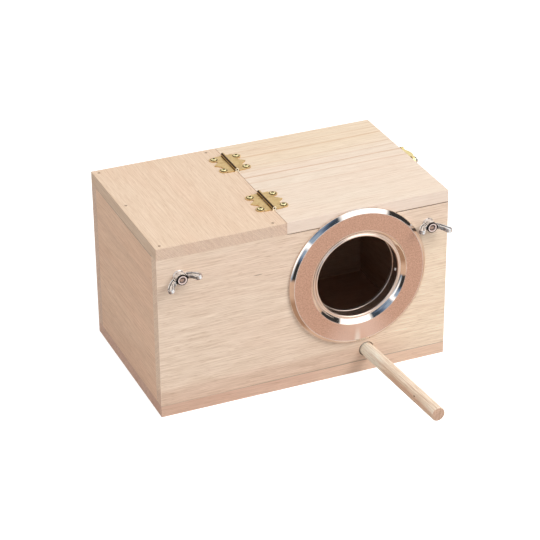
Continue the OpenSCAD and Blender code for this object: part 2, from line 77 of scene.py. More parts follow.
# Boards: seven pieces of bare, sanded wood, 10 mm thick, butted and nailed together.
# Each has its edges just broken with sandpaper, and its own cut from the tree.
class Tone:
    """One value of a finish. Sums on it are written as in Python, and each adds its Math node."""

    def __init__(self, socket):
        self.socket = socket
        self.tree = socket.id_data

    def node(self, kind, settings=None, inputs=None, output=0):
        """Adds a node: its settings are set first, then its sockets get values or links."""
        node = self.tree.nodes.new(kind)
        for name, setting in (settings or {}).items():
            setattr(node, name, setting)
        for name, given in (inputs or {}).items():
            if isinstance(given, Tone):
                self.tree.links.new(given.socket, node.inputs[name])
            else:
                node.inputs[name].default_value = given
        return Tone(node.outputs[output])

    def math(self, operation, first, second=0.0):
        return self.node("ShaderNodeMath", {"operation": operation}, {0: first, 1: second})

    def __add__(self, other):
        return self.math("ADD", self, other)

    def __sub__(self, other):
        return self.math("SUBTRACT", self, other)

    def __rsub__(self, other):
        return self.math("SUBTRACT", other, self)

    def __mul__(self, other):
        return self.math("MULTIPLY", self, other)

    def __truediv__(self, other):
        return self.math("DIVIDE", self, other)

    def __pow__(self, other):
        return self.math("POWER", self, other)

    def __abs__(self):
        return self.math("ABSOLUTE", self)

    __radd__ = __add__
    __rmul__ = __mul__

    def least(self, other):
        return self.math("MINIMUM", self, other)

    def most(self, other):
        return self.math("MAXIMUM", self, other)

    def rise(self, low, high):
        """0 up to low, 1 from high, and a smooth rise between them."""
        settings = {"interpolation_type": "SMOOTHSTEP"}
        inputs = {0: self, 1: low, 2: high, 3: 0.0, 4: 1.0}
        return self.node("ShaderNodeMapRange", settings, inputs)

    def tinted(self, tone, amount=1.0):
        """This colour multiplied by a tone, as far as the amount says."""
        settings = {"data_type": "RGBA", "blend_type": "MULTIPLY", "clamp_factor": True}
        return self.node("ShaderNodeMix", settings, {0: amount, 6: self, 7: tone}, 2)

    def colour(self, at_none, at_full):
        """The colour that goes from at_none to at_full as this value goes from 0 to 1."""
        settings = {"data_type": "RGBA", "clamp_factor": True}
        return self.node("ShaderNodeMix", settings, {0: self, 6: at_none, 7: at_full}, 2)

    def along(self, direction):
        """How far this place lies along a direction."""
        inputs = {0: self, 1: direction}
        return self.node("ShaderNodeVectorMath", {"operation": "DOT_PRODUCT"}, inputs, "Value")

    def bump(self, height, strength=1.0):
        """The normal of a surface that this value raises by as much as the height, in metres."""
        inputs = {"Strength": strength, "Distance": height, "Height": self}
        return self.node("ShaderNodeBump", None, inputs, "Normal")


def grains(place, sizes, detail=2.0, rough=0.5, shift=0.0):
    """Noise whose grains have these three sizes in metres, along the three values of the place."""
    scaled = [value * (1 / size) + shift for value, size in zip(place, sizes)]
    spot = scaled[0].node("ShaderNodeCombineXYZ", None, dict(enumerate(scaled)))
    inputs = {"Vector": spot, "Scale": 1.0, "Detail": detail, "Roughness": rough}
    return spot.node("ShaderNodeTexNoise", None, inputs)


def shade(red, green, blue):
    """A colour as it shows on a screen, from 0 to 255, as the shader wants it."""
    parts = [part / 255 for part in (red, green, blue)]
    linear = [p / 12.92 if p <= 0.04045 else ((p + 0.055) / 1.055) ** 2.4 for p in parts]
    return (*linear, 1.0)


def new_finish(name):
    """A new material, with the place and the facing of each point in the piece's own frame."""
    material = bpy.data.materials.new(name)
    material.use_nodes = True
    where = material.node_tree.nodes.new("ShaderNodeTexCoord")
    return material, Tone(where.outputs["Object"]), Tone(where.outputs["Normal"])


def set_finish(material, **values):
    """Gives the shader its values, and its links where a value varies over the surface."""
    shader = material.node_tree.nodes["Principled BSDF"]
    for name, given in values.items():
        socket = shader.inputs[name.replace("_", " ")]
        if isinstance(given, Tone):
            material.node_tree.links.new(given.socket, socket)
        else:
            socket.default_value = given


def to_edge(spot, low, high):
    """Distance of each point of a board's surface from the board's nearest edge."""
    reach = []
    for axis in range(3):
        direction = tuple(float(axis == i) for i in range(3))
        middle, half = (low[axis] + high[axis]) / 2, (high[axis] - low[axis]) / 2
        reach.append(half - abs(spot.along(direction) - middle))
    x, y, z = reach
    return x.least(y).most(x.most(y).least(z))


rosy_tint, pore_tint = (1.0, 0.945, 0.93, 1.0), (0.66, 0.53, 0.44, 1.0)
comb_dark, comb_light = (0.80, 0.73, 0.66, 1.0), (1.20, 1.25, 1.30, 1.0)
hatch_tint, inside_shade_tint = (0.83, 0.78, 0.78, 1.0), (0.60, 0.52, 0.48, 1.0)
hole_shade_tone = shade(50, 32, 20)
hatch_slant, worn_share, worn_reach, grain_relief = 0.9, 0.30, (0.0001, 0.0008), 0.00022


def wood(name, grain, heart, ring_gap, pale, ring_tone, edges, ring_depth=0.5, late_from=0.45,
         fade=None, waver=0.004, streaky=1.0, end_tone=(0.98, 0.93, 0.92, 1.0), blush=0.5,
         inner=(0.0, 0.0, 0.0), marks=(), drilled=(), seed=0.0):
    """Solid wood. grain is the directions along the grain, across it and through the board.
    heart is the tree's middle on the last two, and rings lie about ring_gap apart round it.
    The face that inner points out of is inside the box, and is painted darker there as painted
    shade.
    Each of the marks has its middle, half length, half width, depth and tone. A sixth value
    squares its ends and lays it over the grain, as a joint line. Each hole that is drilled has
    its middle and radius, and is painted dark out to that radius, as painted shade in the hole."""
    material, spot, facing = new_finish(name)
    place = [spot.along(direction) for direction in grain]
    down, side, deep = place
    end = abs(facing.along(grain[0])).rise(0.6, 0.95)
    face = 1 - end

    wander = grains(place, (0.16, 0.035, 0.035), 2.0, 0.5, seed) - 0.5
    bow = grains(place, (0.5, 0.12, 0.12), 0.0, 0.5, seed + 3.1) - 0.5
    off_side = side - heart[0] + wander * waver + bow * (waver * 3)
    off_deep = deep - heart[1] + wander * waver
    reach = (off_side * off_side + off_deep * off_deep) ** 0.5
    level = reach * 0.0
    uneven = grains([reach, level, level], (ring_gap * 2.3, 1.0, 1.0), 1.0, 0.5, seed + 8.3) - 0.5
    count = reach / ring_gap + uneven * 2.0
    year = count.math("FLOOR", count)
    part = count - year
    late = part.rise(late_from, 0.95) - part.rise(0.95, 1.0)
    strong = grains([year, level, level], (0.37, 1.0, 1.0), 0.0, 0.5, seed).rise(0.3, 0.7)
    rings = late * (0.2 + 0.8 * strong) * ring_depth
    if fade:
        rings = rings * (0.18 + 0.82 * side.rise(*fade))

    ripple = grains(place, (0.035, 0.009, 0.009), 1.0, 0.5, seed + 6.2) - 0.5
    bent = [down, side + ripple * 0.0010, deep + ripple * 0.0010]
    fibres = grains(bent, (0.034, 0.0007, 0.0007), 3.0, 0.6, seed) - 0.5
    hairs = grains(bent, (0.015, 0.0005, 0.0005), 2.0, 0.6, seed + 7.7) - 0.5
    streaks = grains(bent, (0.16, 0.0026, 0.0026), 2.0, 0.55, seed + 1.3) - 0.5
    pores = grains(bent, (0.0085, 0.0008, 0.0008), 1.0, 0.4, seed + 4.4).rise(0.62, 0.76)
    cloud = grains(place, (0.11, 0.028, 0.028), 2.0, 0.5, seed + 5.9).rise(0.35, 0.7)

    def marked(base, lines):
        for at, length, width, depth, tone, *ends in marks:
            if bool(ends) == lines:
                off = ((down - at[0]) / length) ** (ends[0] if ends else 2.0)
                off = off + ((side - at[1] + wander * 0.002) / width) ** 2.0
                base = ((1 - off.rise(0.2, 1.0)) * depth).colour(base, tone)
        return base

    body = marked((rings + 0.10).colour(pale, ring_tone), False)
    cast = body.tinted(rosy_tint, cloud * blush)
    thread = (fibres * 0.95 + hairs * 0.95 + streaks * 0.14) * streaky
    combed = cast.tinted((0.5 - thread).colour(comb_dark, comb_light))
    pored = combed.tinted(pore_tint, pores * face * (0.30 * streaky))
    slanted = [side + deep * hatch_slant, deep - side * hatch_slant, down]
    hatch = grains(slanted, (0.0010, 0.012, 0.012), 1.0, 0.5, seed + 9.1).rise(0.36, 0.66)
    ended = pored.tinted(end_tone, end).tinted(hatch_tint, hatch * end * 0.6)
    # Painted shade: the faces inside the box are darkened, as the inside of the box lies in shade.
    shaded_wood = ended.tinted(inside_shade_tint, facing.along(inner).rise(0.6, 0.95))
    worn = (1 - (edges(spot) + hairs * 0.0012).rise(*worn_reach)) * worn_share
    colour = marked(worn.colour(shaded_wood, tuple(1.02 * part for part in pale[:3]) + (1.0,)), True)
    # Painted shade: each drilled hole is painted dark out to its radius, as the gap round the
    # perch lies in shade.
    for at, radius in drilled:
        off = ((down - at[0]) ** 2.0 + (side - at[1]) ** 2.0) ** 0.5
        colour = (1 - off.rise(radius, radius + 0.0001)).colour(colour, hole_shade_tone)
    height = fibres * 0.5 + hairs * 0.35 - pores * 0.5 + rings * 0.3
    set_finish(material, Base_Color=colour, Roughness=0.66 + fibres * 0.22 - rings * 0.10,
               Normal=height.bump(grain_relief, 0.55), Specular_IOR_Level=0.32)
    return material


def picked_out(*pieces):
    """Selects these pieces alone, the last one active."""
    bpy.ops.object.select_all(action="DESELECT")
    for piece in pieces:
        piece.select_set(True)
    bpy.context.view_layer.objects.active = pieces[-1]


smooth_up_to = radians(50)


def finish_edges(piece, edge, steps=2, angle=32):
    """Rounds the piece's sharp edges and leaves its flats flat."""
    picked_out(piece)
    bevel = piece.modifiers.new("edges", "BEVEL")
    bevel.width, bevel.segments = edge, steps
    bevel.limit_method, bevel.angle_limit = "ANGLE", radians(angle)
    bpy.ops.object.modifier_apply(modifier=bevel.name)
    bpy.ops.object.shade_smooth_by_angle(angle=smooth_up_to)
    even = piece.modifiers.new("flats", "WEIGHTED_NORMAL")
    even.keep_sharp = True
    bpy.ops.object.modifier_apply(modifier=even.name)


def pick(piece, points=None, faces=None):
    """Selects the points or the faces that pass a test, and goes into edit mode."""
    picked_out(piece)
    mesh = piece.data
    bpy.ops.object.mode_set(mode="EDIT")
    bpy.ops.mesh.select_mode(type="FACE" if faces else "VERT")
    bpy.ops.mesh.select_all(action="DESELECT")
    bpy.ops.object.mode_set(mode="OBJECT")
    for part in mesh.polygons if faces else mesh.vertices:
        part.select = bool((faces or points)(part))
    bpy.ops.object.mode_set(mode="EDIT")


def body_of_node(node):
    """The moving body that the record puts a node on."""
    bodies = frame["record"]["behaviour"]["bodies"]
    return next(name for name, nodes in bodies.items() if node in nodes)


def slot_of_node(node):
    """The material slot that the record gives a node."""
    subparts = frame["record"]["subparts"]
    return next(part["material_slot"] for part in subparts if part["node"] == node)


def stand_for(piece, node, material):
    """Hides the node and stands the piece in its place, on the node's body, with a finish. The
    node's slot is looked up but not given to the piece.
    """
    piece.data.materials.clear()
    piece.data.materials.append(material)
    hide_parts(node)
    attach(piece, body_of_node(node))
    slot_of_node(node)


same_place, same_plane = 0.000001, radians(0.5)


def merged_copy(node, suffix):
    """A copy of a node's mesh, with its flats made whole."""
    source = frame["nodes"][node]
    piece = bpy.data.objects.new(f"{node}_{suffix}", source.data.copy())
    bpy.context.scene.collection.objects.link(piece)
    picked_out(piece)
    bpy.ops.object.mode_set(mode="EDIT")
    bpy.ops.mesh.select_all(action="SELECT")
    bpy.ops.mesh.customdata_custom_splitnormals_clear()
    bpy.ops.mesh.remove_doubles(threshold=same_place)
    bpy.ops.mesh.dissolve_limited(angle_limit=same_plane)
    bpy.ops.object.mode_set(mode="OBJECT")
    return piece


def worked_copy(node, suffix, edge, material):
    """A copy of a node, with its sharp edges rounded, that stands for it."""
    piece = merged_copy(node, suffix)
    finish_edges(piece, edge)
    stand_for(piece, node, material)


right, back, up = (1.0, 0.0, 0.0), (0.0, 1.0, 0.0), (0.0, 0.0, 1.0)
left, front, under = (-1.0, 0.0, 0.0), (0.0, -1.0, 0.0), (0.0, 0.0, -1.0)
joint_tone, lid_gap_shade, square = shade(104, 76, 58), shade(108, 80, 56), 60.0
stain_tone = shade(206, 164, 132)
perch_hole_at, perch_hole_r = (0.05413, 0.02027), 0.00642

boards = {
    "front_panel": dict(
        grain=(right, up, back), inner=back, heart=(0.30, 0.06), ring_gap=0.0105, seed=2.0,
        pale=shade(246, 223, 201), ring_tone=shade(210, 176, 150), ring_depth=0.10, streaky=1.35,
        end_tone=(1.04, 0.98, 0.93, 1.0),
        drilled=((perch_hole_at, perch_hole_r),),
        marks=(
            ((-0.041, 0.1095), 0.0045, 0.0005, 0.75, shade(150, 112, 84)),
            # A dark line along the top edge, under the lid's front: painted shade of the gap below
            # the lid.
            ((0.0550, 0.1400), 0.0715, 0.00048, 0.90, lid_gap_shade, square),
            ((0.0, 0.0100), 0.1300, 0.0006, 0.55, joint_tone, square),
            ((-0.04, 0.0160), 0.1900, 0.0110, 0.35, shade(206, 166, 142)),
            # A lighter patch to the right of the ring: painted light, as that side of the panel is
            # lit more.
            ((0.1200, 0.0600), 0.0800, 0.0700, 0.75, shade(255, 232, 204)),
            ((0.1150, 0.0850), 0.0300, 0.0016, 0.22, stain_tone),
            ((0.1200, 0.0480), 0.0350, 0.0014, 0.22, stain_tone),
        ),
    ),
    "left_panel": dict(
        grain=(back, up, right), inner=right, heart=(0.02, 0.09), ring_gap=0.009, seed=11.0,
        pale=shade(248, 209, 178), ring_tone=shade(206, 166, 140), ring_depth=0.16, streaky=1.2,
        marks=(((0.0, 0.1400), 0.0800, 0.0005, 0.6, joint_tone, square),),
    ),
    "right_panel": dict(
        grain=(back, up, right), inner=left, heart=(0.05, 0.02), ring_gap=0.010, seed=17.0,
        pale=shade(240, 213, 190), ring_tone=shade(205, 168, 138), ring_depth=0.25,
    ),
    "back_panel": dict(
        grain=(right, up, back), inner=front, heart=(0.09, 0.16), ring_gap=0.011, seed=23.0,
        pale=shade(240, 214, 191), ring_tone=shade(205, 168, 138), ring_depth=0.30,
    ),
    "base_board": dict(
        grain=(right, back, up), inner=up, heart=(0.03, -0.05), ring_gap=0.010, seed=31.0,
        pale=shade(232, 198, 176), ring_tone=shade(200, 158, 134), ring_depth=0.25,
        marks=(
            ((0.1250, -0.0750), 0.1300, 0.0300, 0.60, shade(248, 218, 192)),
            ((-0.1250, -0.0750), 0.0800, 0.0300, 0.50, shade(216, 176, 152)),
        ),
    ),
    "fixed_top": dict(
        grain=(back, right, up), inner=under, heart=(-0.30, 0.02), ring_gap=0.008, seed=41.0,
        pale=shade(240, 214, 188), ring_tone=shade(214, 178, 148), ring_depth=0.08, edge=0.00015,
        end_tone=(0.97, 0.96, 0.99, 1.0),
        marks=(((0.0, -0.1250), 0.0900, 0.0005, 0.30, shade(205, 164, 130), square),),
    ),
    "lid": dict(
        grain=(right, back, up), inner=under, heart=(-0.08, 0.10), ring_gap=0.0115, seed=53.0,
        pale=shade(245, 229, 211), ring_tone=shade(210, 166, 128), ring_depth=0.75, late_from=0.78,
        fade=(-0.02, 0.015), edge=0.00015,
        marks=(
            ((0.03, 0.062), 0.1800, 0.0480, 0.40, shade(240, 214, 176)),
            ((0.055, -0.0746), 0.0900, 0.0009, 0.55, shade(252, 229, 213), square),
        ),
    ),
}
for node, cut in boards.items():
    low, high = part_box(node)
    edge = cut.pop("edge", 0.00025)
    shaded_wood = wood(f"{node}_wood", edges=lambda spot: to_edge(spot, low, high), **cut)
    worked_copy(node, "board", edge, shaded_wood)


# Perch: a turned dowel, pushed loosely through its hole so that it leans up and to the right.
# Its front end has a small chamfer and shows end grain.
perch_lean_up = radians(2.3)
perch_lean_side = radians(1.9)
perch_axis = Vector((sin(perch_lean_side), -cos(perch_lean_side), sin(perch_lean_up))).normalized()
perch_side = perch_axis.cross(Vector(up)).normalized()
perch_over = perch_side.cross(perch_axis)


def no_edges(spot):
    """A dowel has no long edges that could wear pale."""
    return spot.along(up) * 0.0 + 0.01


dowel = wood(
    "perch_wood", grain=(tuple(perch_axis), tuple(perch_side), tuple(perch_over)),
    heart=(0.055, 0.03), ring_gap=0.0026, seed=61.0, pale=shade(255, 239, 217),
    ring_tone=shade(190, 140, 100), ring_depth=0.36, late_from=0.6, streaky=1.7, waver=0.003,
    end_tone=(0.74, 0.60, 0.55, 1.0), edges=no_edges,
    marks=(
        # A pale patch at the root: painted light, against the shade that the panel casts there.
        ((0.088, -0.0480), 0.0300, 0.0060, 0.70, shade(255, 252, 236)),
        # A reddish-brown band along the dowel's left side: painted shade on its shaded side.
        ((0.160, -0.0458), 0.0550, 0.0014, 0.50, shade(210, 146, 102)),
        ((0.135, -0.0474), 0.0650, 0.0011, 0.26, shade(206, 158, 118)),
        ((0.165, -0.0496), 0.0350, 0.0005, 0.40, shade(196, 146, 106)),
        ((0.168, -0.0467), 0.0013, 0.0004, 0.80, shade(110, 70, 46)),
    ),
)
worked_copy("perch", "dowel", 0.0002, dowel)


# Hinges: stamped brass leaves with two round lobes and a pointed tooth, rolled round steel pins.
# Shade is painted in beside the barrels, round the screw heads and in their recesses, with painted
# reflections and highlights on the barrels and the screw heads.
def metal(name, colour, rough, spots, bump, grain_size=0.0006, dull=None, layers=(), metallic=1.0):
    """A plain metal: fine grain in its colour, patches in its gloss, and small dents.
    Each layer is a function of place and facing that says how far it shows, and its colour."""
    material, spot, facing = new_finish(name)
    place = [spot.along(direction) for direction in (right, back, up)]
    fine = grains(place, (grain_size,) * 3, 3.0, 0.6) - 0.5
    patches = grains(place, (0.004,) * 3, 2.0, 0.5, 2.7).rise(0.35, 0.72)
    tarnish = (patches * 0.5 + fine) * spots
    finish = tarnish.colour(colour, dull or tuple(0.6 * c for c in colour))
    for shows, tone in layers:
        finish = shows(spot, facing).colour(finish, tone)
    set_finish(material, Base_Color=finish, Metallic=metallic,
               Roughness=rough + fine * (rough * 0.6) + patches * (rough * 0.35),
               Normal=(fine + patches * 0.4).bump(bump, 0.6))
    return material


def middle(node):
    """The middle of a CAD node's box, to a hundredth of a millimetre."""
    low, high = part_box(node)
    return [round((a + b) / 2, 5) for a, b in zip(low, high)]


rear_pin, front_pin = middle("rear_hinge_pin"), middle("front_hinge_pin")
barrel_x, hinges_middle_y = rear_pin[0], (rear_pin[1] + front_pin[1]) / 2
hinge_reach_y = (rear_pin[1] - front_pin[1]) / 2
screw_reach_x, screw_reach_y = 0.0098, 0.0109
# Each of these is where a tone starts or ends, from the barrel's or the screw's middle.
barrel_edge, barrel_side, gap_edge = (0.0017, 0.0020), (0.00157, 0.0017), (0.0019, 0.0024)
seat_r, seat_edge, rim_from, rim_to = 0.0028, (0.0001, 0.0004), (0.0020, 0.0024), (0.0030, 0.0040)
recess_edge = (0.0010, 0.0014)


def on_barrel(spot):
    return 1 - abs(spot.along(right) - barrel_x).rise(*barrel_edge)


def from_screw(spot):
    """Distance from the middle of the nearest hinge screw, seen from above."""
    across = abs(spot.along(right) - barrel_x) - screw_reach_x
    hinge = abs(spot.along(back) - hinges_middle_y) - hinge_reach_y
    down = abs(hinge) - screw_reach_y
    return (across * across + down * down) ** 0.5


def shade_beside_barrel(spot, facing):
    """Painted shade in the gap beside the barrel, and on the side of the barrel that turns down to
    it.
    """
    off = abs(spot.along(right) - barrel_x)
    turned_down = facing.along(right).rise(0.62, 0.76)
    return (1 - off.rise(*gap_edge)) * turned_down.most(off.rise(*barrel_side))


def barrel_shadow(spot, facing):
    """A dark streak along the top of the barrel, a little to one side: a painted dark reflection.
    """
    tilt = facing.along(right)
    return on_barrel(spot) * tilt.rise(-0.97, -0.92) * (1 - tilt.rise(-0.30, -0.15))


# Painted shade round each screw head, on its rim and in its recess; between them the head's pale
# brass shows as a painted ring of highlight.
def shade_round_screw(spot, facing):
    return 1 - abs(from_screw(spot) - seat_r).rise(*seat_edge)


def screw_rim_shade(spot, facing):
    return from_screw(spot).rise(*rim_from) * (1 - from_screw(spot).rise(*rim_to))


def recess_shade(spot, facing):
    return (1 - from_screw(spot).rise(*recess_edge)) * 0.9


# A painted highlight on each barrel's front end, and painted shade on each pin's end.
def barrel_end_glint(spot, facing):
    return on_barrel(spot) * facing.along(front).rise(0.6, 0.9)


def pin_end_shade(spot, facing):
    return abs(facing.along(back)).rise(0.6, 0.9)


cast_bump, fine_bump = 0.00004, 0.00003
brass_leaf = metal(
    "stamped_brass", shade(218, 188, 132), 0.30, 0.7, cast_bump, dull=shade(156, 120, 64),
    layers=((barrel_shadow, shade(58, 36, 16)), (shade_beside_barrel, shade(58, 38, 18)),
            (barrel_end_glint, shade(255, 250, 230)), (shade_round_screw, shade(84, 58, 26))))
# The screws' pale brass, between their painted shade, reads as a painted highlight.
brass_screw = metal(
    "turned_brass", shade(255, 242, 186), 0.16, 0.4, fine_bump, dull=shade(190, 152, 84),
    layers=((screw_rim_shade, shade(92, 64, 30)), (recess_shade, shade(44, 28, 12))))
pin_steel = metal("pin_steel", shade(190, 180, 160), 0.26, 0.4, fine_bump,
                  layers=((pin_end_shade, shade(30, 24, 18)),))
for side in ("rear", "front"):
    for leaf in ("fixed_leaf", "lid_leaf"):
        worked_copy(f"{side}_hinge_{leaf}", "stamping", 0.00012, brass_leaf)
    worked_copy(f"{side}_hinge_pin", "wire", 0.00015, pin_steel)


# Screws and brads: raised brass screws with crossed recesses in the hinges and the catch plate,
# and dull steel brads through the boards. Two bright brads with domed heads hold the entrance's
# collar.
for node in ("fixed_leaf_screws", "lid_leaf_screws", "catch_plate_screws"):
    worked_copy(node, "screws", 0.00008, brass_screw)
dull_steel = metal("dull_steel", shade(176, 150, 128), 0.48, 0.6, fine_bump)
for node in ("top_brads", "base_brads"):
    worked_copy(node, "nails", 0.00012, dull_steel)

panel_front = round(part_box("front_panel")[0].y, 5)
ring_x, _, ring_z = middle("entrance_ring")
ring_centre, brad_reach = Vector((ring_x, panel_front, ring_z)), 0.0358
dome_steps = ((0.00012, 0.00045), (0.00025, 0.00022), (0.00035, 0.00010))
collar_brads = merged_copy("ring_brads", "nails")


def is_head(face):
    out = face.center - ring_centre
    out.y = 0
    return out.length < brad_reach and face.normal.dot(out.normalized()) < -0.95


pick(collar_brads, faces=is_head)
for thickness, rise in dome_steps:
    bpy.ops.mesh.inset(thickness=thickness, depth=rise)
bpy.ops.object.mode_set(mode="OBJECT")
finish_edges(collar_brads, 0.00006)
nickel = metal("nickel", shade(250, 248, 246), 0.30, 0.3, fine_bump, metallic=0.2)
stand_for(collar_brads, "ring_brads", nickel)


# Entrance ring: pressed from one sheet, with a satin face between two polished bevels.
# Its inner edge is rolled over into a collar that lines the hole, held by two brads.
def pulled_shell(name, centre, outline, steps):
    """An open shell round the Y axis: a circle, pulled on to each radius and height in turn."""
    bpy.ops.object.select_all(action="DESELECT")
    level = [centre - Vector((0, height, 0)) for _, height in outline]
    bpy.ops.mesh.primitive_circle_add(vertices=steps, radius=outline[0][0], location=level[0],
                                      rotation=(radians(90), 0, 0))
    shell = bpy.context.object
    shell.name = shell.data.name = name
    bpy.ops.object.mode_set(mode="EDIT")
    bpy.ops.mesh.select_mode(type="EDGE")
    bpy.ops.mesh.select_all(action="SELECT")
    for i in range(1, len(outline)):
        bpy.ops.mesh.extrude_edges_indiv()
        bpy.ops.transform.resize(value=(outline[i][0] / outline[i - 1][0],) * 3,
                                 center_override=level[i - 1])
        bpy.ops.transform.translate(value=level[i] - level[i - 1])
    bpy.ops.mesh.select_all(action="SELECT")
    bpy.ops.mesh.normals_make_consistent(inside=False)
    bpy.ops.object.mode_set(mode="OBJECT")
    picked_out(shell)
    bpy.ops.object.transform_apply(location=True, rotation=True, scale=True)
    return shell


def crowned(radius, height, width, leans):
    """The points of a bevel that starts level with the face and falls away ever more steeply."""
    step = width / sum(cos(radians(lean)) for lean in leans)
    points = []
    for lean in leans:
        radius += step * cos(radians(lean))
        height -= abs(step) * sin(radians(lean))
        points.append((radius, height))
    return points


def arc_points(radius, height, size, turns):
    """The points of an arc round this radius and height, at turns given in degrees."""
    return [(radius + size * cos(radians(turn)), height + size * sin(radians(turn)))
            for turn in turns]


ring_sheet, rim_r, face_height, face_outer_r, face_inner_r = 0.0008, 0.0600, 0.0041, 0.0566, 0.0421
outer_bevel_width, inner_bevel_width, bevel_leans = 0.0034, -0.0032, range(18, 56, 4)
bead_foot = [(0.0382, 0.0011), (0.0377, 0.0010)]
bead_r, bead_height, bead_size = 0.0364, 0.0006, 0.0011
ridge_height, ridge_size, collar_r, collar_end = -0.0080, 0.00032, 0.0353, -0.0108
ring_steps, lip_edge = 192, (0.0380, 0.0386)
outer_bevel = crowned(face_outer_r, face_height, outer_bevel_width, bevel_leans)
inner_bevel = crowned(face_inner_r, face_height, inner_bevel_width, bevel_leans)
ring_outline = [(rim_r, 0.0)] + outer_bevel[::-1]
ring_outline += [(face_outer_r, face_height), (face_inner_r, face_height)] + inner_bevel
ring_outline += bead_foot + arc_points(bead_r, bead_height, bead_size, range(40, 181, 10))
ring_outline.append((collar_r, collar_end))
ridge_outline = arc_points(collar_r, ridge_height, ridge_size, range(0, 361, 30))

ring = pulled_shell("entrance_ring_pressing", ring_centre, ring_outline, ring_steps)
wall = ring.modifiers.new("sheet", "SOLIDIFY")
wall.thickness, wall.offset, wall.use_even_offset = ring_sheet, -1, True
bpy.ops.object.modifier_apply(modifier=wall.name)
finish_edges(ring, 0.0002, steps=3, angle=24)
ridge = pulled_shell("collar_ridge", ring_centre, ridge_outline, ring_steps)
bpy.ops.object.mode_set(mode="EDIT")
bpy.ops.mesh.select_all(action="SELECT")
bpy.ops.mesh.remove_doubles(threshold=0.00001)
bpy.ops.mesh.normals_make_consistent(inside=False)
bpy.ops.object.mode_set(mode="OBJECT")
bpy.ops.object.shade_smooth_by_angle(angle=smooth_up_to)
picked_out(ridge, ring)
bpy.ops.object.join()

ring_metal, spot, facing = new_finish("ring_metal")
across, over = spot.along(right) - ring_centre.x, spot.along(up) - ring_centre.z
radius = (across * across + over * over) ** 0.5
flat = facing.along(front).rise(0.955, 0.995)
flat = flat * radius.rise(face_inner_r - 0.0011, face_inner_r + 0.0001)
flat = flat * (1 - radius.rise(face_outer_r - 0.0003, face_outer_r + 0.0003))
turned = grains([radius, radius * 0.0, radius * 0.0], (0.00016, 1.0, 1.0), 2.0, 0.6) - 0.5
speckle = grains([across, over, spot.along(back)], (0.0012,) * 3, 3.0, 0.7) - 0.5
smears = grains([across, over, spot.along(back)], (0.011,) * 3, 2.0, 0.5, 3.3).rise(0.3, 0.75)
# Painted light on the satin face, at its bottom: a narrow radial glint, and a broader glow round
# it.
ray = 1 - abs(across / radius + 0.02).rise(0.01, 0.07)
streak = ray * (1 - (over / radius + 1.0).rise(0.0, 0.3)) * radius.rise(0.042, 0.056)
satin_dark, satin_light = shade(185, 137, 112), shade(220, 173, 147)
satin = (speckle * 2.8 + 0.5).colour(satin_dark, satin_light)
glow = (1 - abs(across / radius).rise(0.1, 0.75)) * (1 - (over / radius + 1.0).rise(0.0, 0.35))
soft_lit = (glow * 0.8).colour(satin, shade(234, 196, 176))
lit = (streak * 0.8).colour(soft_lit, shade(255, 240, 228))
bright = (smears * 0.4).colour(shade(238, 228, 220), shade(216, 200, 188))
lip = 1 - radius.rise(*lip_edge)
rolled = lip.colour(bright, shade(236, 214, 198))
deep = (ring_centre.y - spot.along(back)).rise(ridge_height + 0.0001, ridge_height + 0.0006)
lined = deep.colour(shade(226, 214, 206), rolled)
set_finish(ring_metal, Metallic=1 - flat * 0.65, Base_Color=flat.colour(lined, lit),
           Roughness=0.06 + flat * 0.26 + lip * 0.24 + smears * 0.02 + speckle * 0.03,
           Normal=(turned * flat + speckle * 0.25).bump(0.00002, 0.5))
stand_for(ring, "entrance_ring", ring_metal)


# Cage fixings: cast wing nuts on M5 machine screws that come through the front panel.
# All are bright zinc plate, and the castings have soft, rounded edges.
def apply_all(piece):
    picked_out(piece)
    for modifier in list(piece.modifiers):
        bpy.ops.object.modifier_apply(modifier=modifier.name)


bolt_reach_x, _, bolt_height = middle("right_bolt")


def from_bolt(spot):
    """Distance from the nearer bolt's axis."""
    across = abs(spot.along(right)) - bolt_reach_x
    over = spot.along(up) - bolt_height
    return (across * across + over * over) ** 0.5


def proud(spot):
    """Height in front of the panel."""
    return spot.along(front) + panel_front


def hub_face(spot, reach):
    """1 on the front of the hub and the bolt, out to this reach from the bolt's axis."""
    within = 1 - from_bolt(spot).rise(reach - 0.0002, reach + 0.0001)
    return within * proud(spot).rise(0.0066, 0.0074)


def cavity(spot, low, high):
    """1 in the casting's hollows, or on its crests if low and high are below 0."""
    kept = Tone(spot.tree.nodes.new("ShaderNodeAttribute").outputs["Fac"])
    kept.socket.node.attribute_name = "cavity"
    return (kept if low > 0 else 0 - kept).rise(abs(low), abs(high))


deep_cavity, cavity_spread = 0.00002, 6


def mark_cavities(piece):
    """Keeps, for each point of a mesh, how far it lies below the points next to it."""
    mesh = piece.data
    beside = [[] for _ in mesh.vertices]
    for edge in mesh.edges:
        one, other = edge.vertices
        beside[one].append(other)
        beside[other].append(one)
    depth = []
    for vertex, near in zip(mesh.vertices, beside):
        above = sum((mesh.vertices[i].co - vertex.co).dot(vertex.normal) for i in near)
        depth.append(above / max(len(near), 1) / deep_cavity)
    for _ in range(cavity_spread):
        depth = [0.5 * own + 0.5 * sum(depth[i] for i in near) / max(len(near), 1)
                 for own, near in zip(depth, beside)]
    kept = mesh.attributes.new("cavity", "FLOAT", "POINT")
    kept.data.foreach_set("value", depth)


def cloudy(spot):
    """The plating's uneven grey, deepest near the hub, which also serves as painted dark
    reflections.
    """
    place = [spot.along(direction) for direction in (right, back, up)]
    near = 1 - from_bolt(spot).rise(0.0060, 0.0080) * 0.4
    return grains(place, (0.0026,) * 3, 1.0, 0.5, 5.1).rise(0.46, 0.72) * near


def rounded_over(spot, facing):
    """Where the casting turns from its sides to its front, except at the foot of the hub: a
    painted dark reflection.
    """
    turn = facing.along(front)
    turning = turn.rise(0.28, 0.42) - turn.rise(0.60, 0.78)
    return turning * proud(spot).rise(0.0012, 0.0020) * 0.6


